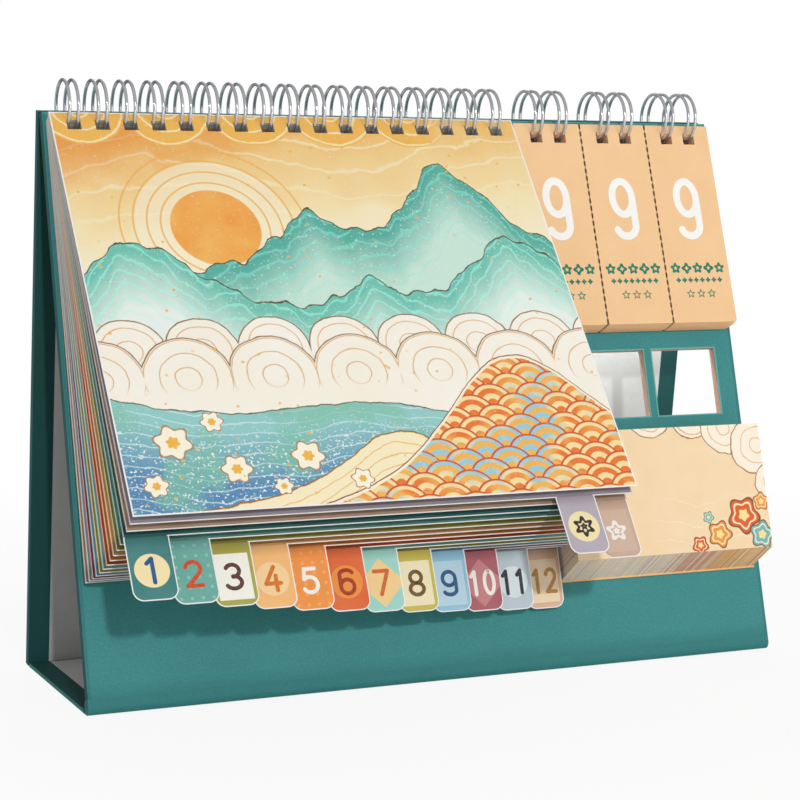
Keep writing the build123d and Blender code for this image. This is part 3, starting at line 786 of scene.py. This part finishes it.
def numeral(digit):
    """Strokes of a rounded numeral in a box one wide and one high."""
    def line(start, end):
        return np.linspace(start, end, 12)

    bowl = arc(0.48, 0.70, 0.46, 0.30, 0, 360, 56)
    hook = [arc(0.48, 0.20, 0.46, 0.20, 205, 360, 22), line((0.94, 0.24), (0.94, 0.70))]
    neck = [arc(0.5, 0.71, 0.46, 0.29, 165, -32), bow((0.88, 0.55), (0.60, 0.32), (0.04, 0.0))[1:]]
    belly = [bow((0.10, 0.56), (0.28, 0.66), (0.48, 0.65)), arc(0.46, 0.325, 0.5, 0.325, 86, -148, 36)]
    hook, neck, belly = map(np.concatenate, (hook, neck, belly))
    return {
        0: [arc(0.5, 0.5, 0.46, 0.5, 90, 450, 60)],
        1: [line((0.22, 0.80), (0.56, 1.0)), line((0.56, 1.0), (0.56, 0.0))],
        2: [neck, line((0.04, 0.0), (0.98, 0.0))],
        3: [arc(0.46, 0.745, 0.44, 0.255, 150, -90, 36), arc(0.46, 0.255, 0.5, 0.255, 90, -152, 36)],
        4: [line((0.66, 1.0), (0.02, 0.30)), line((0.02, 0.30), (1.0, 0.30)), line((0.72, 0.62), (0.72, 0.0))],
        5: [line((0.88, 1.0), (0.18, 1.0)), line((0.18, 1.0), (0.10, 0.56)), belly],
        6: [1 - bowl, 1 - hook],
        7: [line((0.02, 1.0), (0.98, 1.0)), line((0.98, 1.0), (0.36, 0.0))],
        8: [arc(0.5, 0.75, 0.40, 0.25, 270, 630, 44), arc(0.5, 0.255, 0.48, 0.255, 90, 450, 48)],
        9: [bowl, hook],
    }[digit]


def ribbon(stroke, wide):
    """Flat band along a stroke: each point moved half a width to either side, with half discs at its ends."""
    ahead = np.gradient(stroke, axis=0)
    ahead /= np.linalg.norm(ahead, axis=1, keepdims=True)
    side = np.stack([-ahead[:, 1], ahead[:, 0]], -1) * wide / 2
    turn = np.linspace(0, pi, CAP_POINTS + 2)[1:-1, None]
    first = stroke[0] + side[0] * np.cos(turn) - ahead[0] * np.sin(turn) * wide / 2
    final = stroke[-1] - side[-1] * np.cos(turn) + ahead[-1] * np.sin(turn) * wide / 2
    band = np.stack([stroke + side, stroke - side], 1).reshape(-1, 2)
    low = len(band)
    high = low + CAP_POINTS
    faces = strip_faces(len(stroke), 2)[:, ::-1].tolist()
    faces.append([0, *range(low, high), 1])
    faces.append([low - 1, *range(high, high + CAP_POINTS), low - 2])
    return np.concatenate([band, first, final]), faces


def ring_shape(rim, hole):
    """Flat ring between an outer outline and a smaller copy of it."""
    n = len(rim)
    i = np.arange(n)
    faces = np.stack([i, (i + 1) % n, n + (i + 1) % n, n + i], -1).tolist()
    return np.concatenate([rim, rim * hole]), faces


def star_rim(size):
    """Five-pointed star outline: radius alternating between the points and the notches."""
    a = pi / 2 + np.arange(10) * pi / 5
    r = np.where(np.arange(10) % 2 == 0, size, size * 0.46)
    return np.stack([r * np.cos(a), r * np.sin(a)], -1)


def flower_rim(size, petals):
    """Petalled outline: the radius swells once a petal."""
    a = np.linspace(0, 2 * pi, 40, endpoint=False)
    r = size * (0.8 + 0.2 * np.cos(petals * (a - pi / 2)))
    return np.stack([r * np.cos(a), r * np.sin(a)], -1)


class Print:
    """Flat printed shapes on one leaf, gathered into one mesh, in layers a hair apart."""

    def __init__(self, face, angle):
        self.face, self.angle = face, angle
        self.points, self.faces, self.slots, self.count, self.layer = [], [], [], 0, 0

    def add(self, shape, slot, across, up):
        flat, faces = shape
        out = self.face + INK_LIFT + INK_LIFT * (self.layer % INK_LAYERS)
        self.points.append(leaf_points(flat[:, 0] + across, flat[:, 1] + up, out, self.angle))
        self.faces += [[i + self.count for i in face] for face in faces]
        self.slots += [slot] * len(faces)
        self.count += len(flat)
        self.layer += 1

    def write(self, text, slot, across, up, wide, high, stroke, gap):
        """A number centred on a place, in rounded strokes."""
        total = len(text) * wide + (len(text) - 1) * gap
        for i, sign in enumerate(text):
            left = across - total / 2 + i * (wide + gap)
            for line in numeral(int(sign)):
                self.add(ribbon(line * np.array([wide, high]), stroke), slot, left, up - high / 2)

    def lay(self, name, inks, body, slot):
        made = piece(name, np.concatenate(self.points), self.faces, inks, body)
        made.data.polygons.foreach_set("material_index", self.slots)


# ---------------------------------------------------------------- dressing the solids

def dress(node, material):
    """One finish over a whole solid."""
    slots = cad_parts[node].data.materials
    slots.clear()
    slots.append(material)


raw, lining = greyboard(), grey_liner()
for board in ("front_board", "back_board", "base_board"):
    dress(board + "_wrap", teal_wrap(board))
    dress(board + "_core", raw)
    dress(board + "_liner", lining)
dress("front_foot_crease", teal_wrap("crease"))

# Paper hinge behind the crease: an arc about the fold axis that closes the slit between the roll and the base
angle = np.radians(np.linspace(HINGE_START, HINGE_END, HINGE_ROWS))[:, None]
hinge = np.broadcast_arrays(
    np.array([[-HALF_WIDE, HALF_WIDE]]),
    CREASE_Y + HINGE_RADIUS * np.sin(angle),
    CREASE_Z - HINGE_RADIUS * np.cos(angle),
)
points, faces = np.stack(hinge, -1) / 1000, strip_faces(HINGE_ROWS, 2).tolist()
piece("crease_hinge", points, faces, teal_wrap("hinge"), "stand", True)

SHEETS = ["month_sheet_%02d" % (MONTHS - i) for i in range(MONTHS)]
SHEETS += ["index_sheet_2", "index_sheet_1", "cover_sheet"]
for i, sheet in enumerate(SHEETS[:-1]):
    dress(sheet, leaf_print(i))
dress("cover_sheet", cover_print())
dress("memo_top_sheet", memo_print())
dress("memo_block", memo_edges())
dress("memo_backing_card", memo_card())

# Ring wires, wound smoother than the solids they stand for
metal = ring_metal()
first = SHEET_LEFT + SHEET_WIDTH / 2 - (LOOPS - 1) / 2 * RING_PITCH
points, faces = ring_tube(first + RING_PITCH * np.arange(LOOPS))
wire = piece("calendar_rings", points, faces, metal, "stand", True)
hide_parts("calendar_wire")
points, faces, count = [], [], 0
for pack in range(len(COUNTERS)):
    tube, tube_faces = ring_tube(pack_middle(pack) + RING_PITCH * np.array([-0.5, 0.5]))
    points.append(tube)
    faces += [[i + count for i in face] for face in tube_faces]
    count += len(tube)
wire = piece("counter_rings", np.concatenate(points), faces, metal, "stand", True)
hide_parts("counter_wires")

# Tab numerals
for i, sheet in enumerate(SHEETS[:-1]):
    angle, back, top = sheet_values(i)
    across = SHEET_LEFT + TAB_WIDE * (tab_place(i) + 0.5)
    mark = Print(back + SHEET_THICK, angle)
    centre = top - SHEET_LENGTH - TAB_MIDDLE
    colour = print_ink("tab_ink_%02d" % i, LEAVES[i][3])
    if i < MONTHS:
        text = str(MONTHS - i)
        wide = 4.4 if len(text) == 1 else 3.3
        mark.write(text, 0, across, centre, wide=wide, high=6.8, stroke=1.15, gap=1.5)
    else:
        mark.add(ring_shape(flower_rim(3.4, 5 + i % 2), 0.55), 0, across, centre)
        mark.add(ring_shape(flower_rim(1.2, 5), 0.1), 0, across, centre)
    mark.lay("tab_mark_" + sheet, [colour], "leaf_" + sheet, leaf_slot(i))

# Counter cards: numeral, then rows of ornaments: outlines, share of the hole, spacing, distance below the top
ORNAMENTS = (
    ([flower_rim(1.9, 4 if k % 2 else 5) for k in range(5)], 0.36, 4.1, 48.6),
    ([flower_rim(0.9, 4)] * 8, 0.1, 2.2, 52.6),
    ([star_rim(1.65)] * 3, 0.6, 3.9, 57.2),
)
NUMERAL_DROP = 28.5
white, green = print_ink("numeral_white", (252, 250, 244), 0.3), print_ink("ornament_green", (20, 126, 98))
stocks = [card_stock(i) for i in range(CARDS)]
for pack, counter in enumerate(COUNTERS):
    middle = pack_middle(pack)
    for i in range(CARDS):
        node = "%s_card_%d" % (counter, i)
        dress(node, stocks[i])
        angle, back, top = card_values(i)
        mark = Print(back + CARD_THICK, angle)
        mark.write(str(i), 0, middle, top - NUMERAL_DROP, wide=7.8, high=18.4, stroke=2.5, gap=0.0)
        for rims, hole, spacing, drop in ORNAMENTS:
            for k, rim in enumerate(rims):
                across = middle + spacing * (k - (len(rims) - 1) / 2)
                mark.add(ring_shape(rim, hole), 1, across, top - drop)
        mark.lay("mark_" + node, [white, green], "leaf_" + node, "card_stock")

# ---------------------------------------------------------------- studio

FLOOR_REACH, FLOOR_DROP, FLOOR_GRID = 6.0, 0.0003, 5


def floor_finish():
    """Pale floor that keeps the shadow: most of what the camera sees is white, the rest is lit paper."""
    finish = Finish("studio_floor", roughness=0.9)
    x, y, z = finish.place()
    tone = finish.noise(x, y, z, 400.0, 2.0)
    finish.wear("Base Color", finish.blend(tone, ink(240, 240, 240), ink(245, 245, 245)))
    glow = finish.node("ShaderNodeEmission", {}, {"Color": (1, 1, 1, 1), "Strength": 1.0})
    seen = finish.node("ShaderNodeLightPath", out="Is Camera Ray")
    far = span(x, y).above(300.0, 320.0)
    lit = Flow(finish, finish.shader.outputs[0])
    mixed = finish.node("ShaderNodeMixShader", {}, {0: seen * (far * 0.1 + 0.9), 1: lit, 2: glow})
    finish.tree.links.new(mixed.socket, finish.tree.nodes["Material Output"].inputs[0])
    return finish.material


grid = np.linspace(-FLOOR_REACH, FLOOR_REACH, FLOOR_GRID)
gx, gy = np.meshgrid(grid, grid, indexing="xy")
points = np.stack([gx, gy, np.full_like(gx, -FLOOR_DROP)], -1).reshape(-1, 3).tolist()
floor_mesh = bpy.data.meshes.new("studio_floor")
floor_mesh.from_pydata(points, [], strip_faces(FLOOR_GRID, FLOOR_GRID).tolist())
floor_mesh.materials.append(floor_finish())
floor = bpy.data.objects.new("studio_floor", floor_mesh)
bpy.context.scene.collection.objects.link(floor)

world = bpy.data.worlds.new("studio")
bpy.context.scene.world = world
world.use_nodes = True
tree = world.node_tree
path = tree.nodes.new("ShaderNodeLightPath")
sky = tree.nodes["Background"]
sky.inputs["Color"].default_value = (1, 1, 1, 1)
sky.inputs["Strength"].default_value = 0.4
white_sky = tree.nodes.new("ShaderNodeBackground")
white_sky.inputs["Color"].default_value = (1, 1, 1, 1)
mix = tree.nodes.new("ShaderNodeMixShader")
tree.links.new(path.outputs["Is Camera Ray"], mix.inputs[0])
tree.links.new(sky.outputs[0], mix.inputs[1])
tree.links.new(white_sky.outputs[0], mix.inputs[2])
tree.links.new(mix.outputs[0], tree.nodes["World Output"].inputs[0])


def lamp(name, place, target, size, power):
    """Soft square lamp aimed at a point."""
    data = bpy.data.lights.new(name, "AREA")
    data.size, data.energy = size, power
    made = bpy.data.objects.new(name, data)
    bpy.context.scene.collection.objects.link(made)
    made.location = place
    aim = Vector(np.subtract(target, place).tolist())
    made.rotation_euler = aim.to_track_quat("-Z", "Y").to_euler()
    return made


lamp("key_lamp", (-0.26, -1.27, 0.52), (0.0, -0.02, 0.08), 0.05, 6.4)
lamp("front_lamp", (0.45, -0.75, 0.2), (0.03, 0.0, 0.08), 0.36, 1.25)
lamp("rear_lamp", (0.4, 1.3, 0.9), (0.0, 0.0, 0.08), 0.9, 5.0)
# Narrow lamp inside the easel that lights the lining seen through the windows
strip = lamp("inner_lamp", (0.058, -0.001, 0.112), (0.058, 0.022, 0.08), 0.1, 0.036)
strip.data.shape, strip.data.size_y, strip.visible_camera = "RECTANGLE", 0.004, False

camera = bpy.data.cameras.new("camera")
camera.sensor_width, camera.lens = 36.0, 93.256
camera.clip_start = 0.01
view = bpy.data.objects.new("camera", camera)
bpy.context.scene.collection.objects.link(view)
view.location = (-0.2592, -0.59102, 0.14158)
view.rotation_euler = (radians(90 - 5.3149), 0.0, radians(-23.5797))
bpy.context.scene.camera = view
bpy.context.scene.view_settings.view_transform = "Standard"
